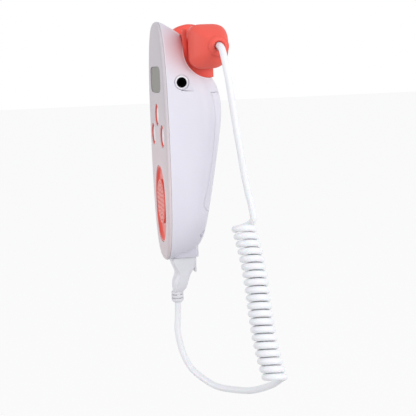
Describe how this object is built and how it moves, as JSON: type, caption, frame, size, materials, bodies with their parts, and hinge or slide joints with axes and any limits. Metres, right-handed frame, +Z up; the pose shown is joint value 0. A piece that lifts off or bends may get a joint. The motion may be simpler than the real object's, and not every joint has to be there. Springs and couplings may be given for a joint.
{
  "type": "fetal doppler monitor",
  "caption": "Hand-held fetal doppler monitor: slim body with display, push buttons and speaker, a probe lying in a saddle across its top, and a curly lead plugged in below.",
  "frame": {"origin": "middle of the hand grip, in the plane where the front cover meets the rear shell", "axes": "+X to the right seen from the front (side with the earphone socket and the cord), +Y to the back, +Z up to the probe"},
  "size_m": [0.1264, 0.0567, 0.2268],
  "materials": {
    "white_shell": "satin moulded plastic",
    "coral_plastic": "soft satin moulded plastic",
    "window_pane": "glossy pane",
    "display_body": "matte",
    "button_white": "satin",
    "black_plastic": "matte",
    "dark_foam": "soft",
    "speaker_metal": "satin",
    "speaker_paper": "matte",
    "board_green": "solder mask",
    "chip_black": "matte",
    "plated_steel": "plated",
    "gold_contact": "plated",
    "lead_film": "film",
    "cell_jacket": "satin",
    "probe_face": "satin",
    "crystal": "fired",
    "cord_white": "smooth jacket",
    "clear_plastic": "clear"
  },
  "bodies": {
    "handset": {"front_cover": "white_shell", "rear_shell": "white_shell", "socket_skirt": "white_shell", "probe_cradle": "coral_plastic", "display_window": "window_pane", "display_gasket": "dark_foam", "display_module": "display_body", "button_rings": "coral_plastic", "speaker_panel": "coral_plastic", "speaker_grille": "coral_plastic", "speaker_gasket": "dark_foam", "speaker_driver": "speaker_metal", "speaker_cone": "speaker_paper", "main_board": "board_green", "board_chips": "chip_black", "tact_switches": "plated_steel", "earphone_jack": "black_plastic", "probe_socket": "black_plastic", "socket_contacts": "gold_contact", "socket_lead": "lead_film", "battery_tray": "black_plastic", "battery_a": "cell_jacket", "battery_b": "cell_jacket", "battery_springs": "plated_steel", "battery_plates": "plated_steel", "case_screws": "plated_steel", "tray_screws": "plated_steel", "cord_coil": "cord_white"},
    "button_top": {"button_top": "button_white"},
    "button_left": {"button_left": "button_white"},
    "button_right": {"button_right": "button_white"},
    "battery_door": {"battery_door": "white_shell", "door_foam": "dark_foam"},
    "probe": {"probe_body": "coral_plastic", "probe_cap": "coral_plastic", "transducer_face": "probe_face", "crystals": "crystal", "probe_board": "board_green", "cord_gland": "cord_white", "cord_upper": "cord_white"},
    "plug": {"plug_grip": "cord_white", "plug_nose": "clear_plastic", "plug_contacts": "gold_contact", "strain_relief": "cord_white", "cord_lower": "cord_white"},
    "plug_latch": {"plug_latch": "clear_plastic"}
  },
  "joints": [
    {"name": "button_top_press", "type": "slide", "parent": "handset", "child": "button_top", "axis": [0, 1, 0], "range_m": [0, 0.0008], "stiffness_N_per_m": 500, "springref_m": -0.0006},
    {"name": "button_left_press", "type": "slide", "parent": "handset", "child": "button_left", "axis": [0, 1, 0], "range_m": [0, 0.0008], "stiffness_N_per_m": 500, "springref_m": -0.0006},
    {"name": "button_right_press", "type": "slide", "parent": "handset", "child": "button_right", "axis": [0, 1, 0], "range_m": [0, 0.0008], "stiffness_N_per_m": 500, "springref_m": -0.0006},
    {"name": "door_swing", "type": "hinge", "parent": "handset", "child": "battery_door", "pos_m": [0, 0.02593, -0.042], "axis": [-1, 0, 0], "range_deg": [0, 70]},
    {"name": "probe_lift", "type": "slide", "parent": "handset", "child": "probe", "axis": [0, 0.7071, 0.7071], "range_m": [0, 0.035]},
    {"name": "plug_pull", "type": "slide", "parent": "handset", "child": "plug", "axis": [0, 0, -1], "range_m": [0, 0.0165]},
    {"name": "latch_press", "type": "hinge", "parent": "plug", "child": "plug_latch", "pos_m": [0, 0.01355, -0.0593], "axis": [-1, 0, 0], "range_deg": [0, 6], "stiffness_Nm_per_rad": 0.02, "springref_deg": -2.86}
  ]
}
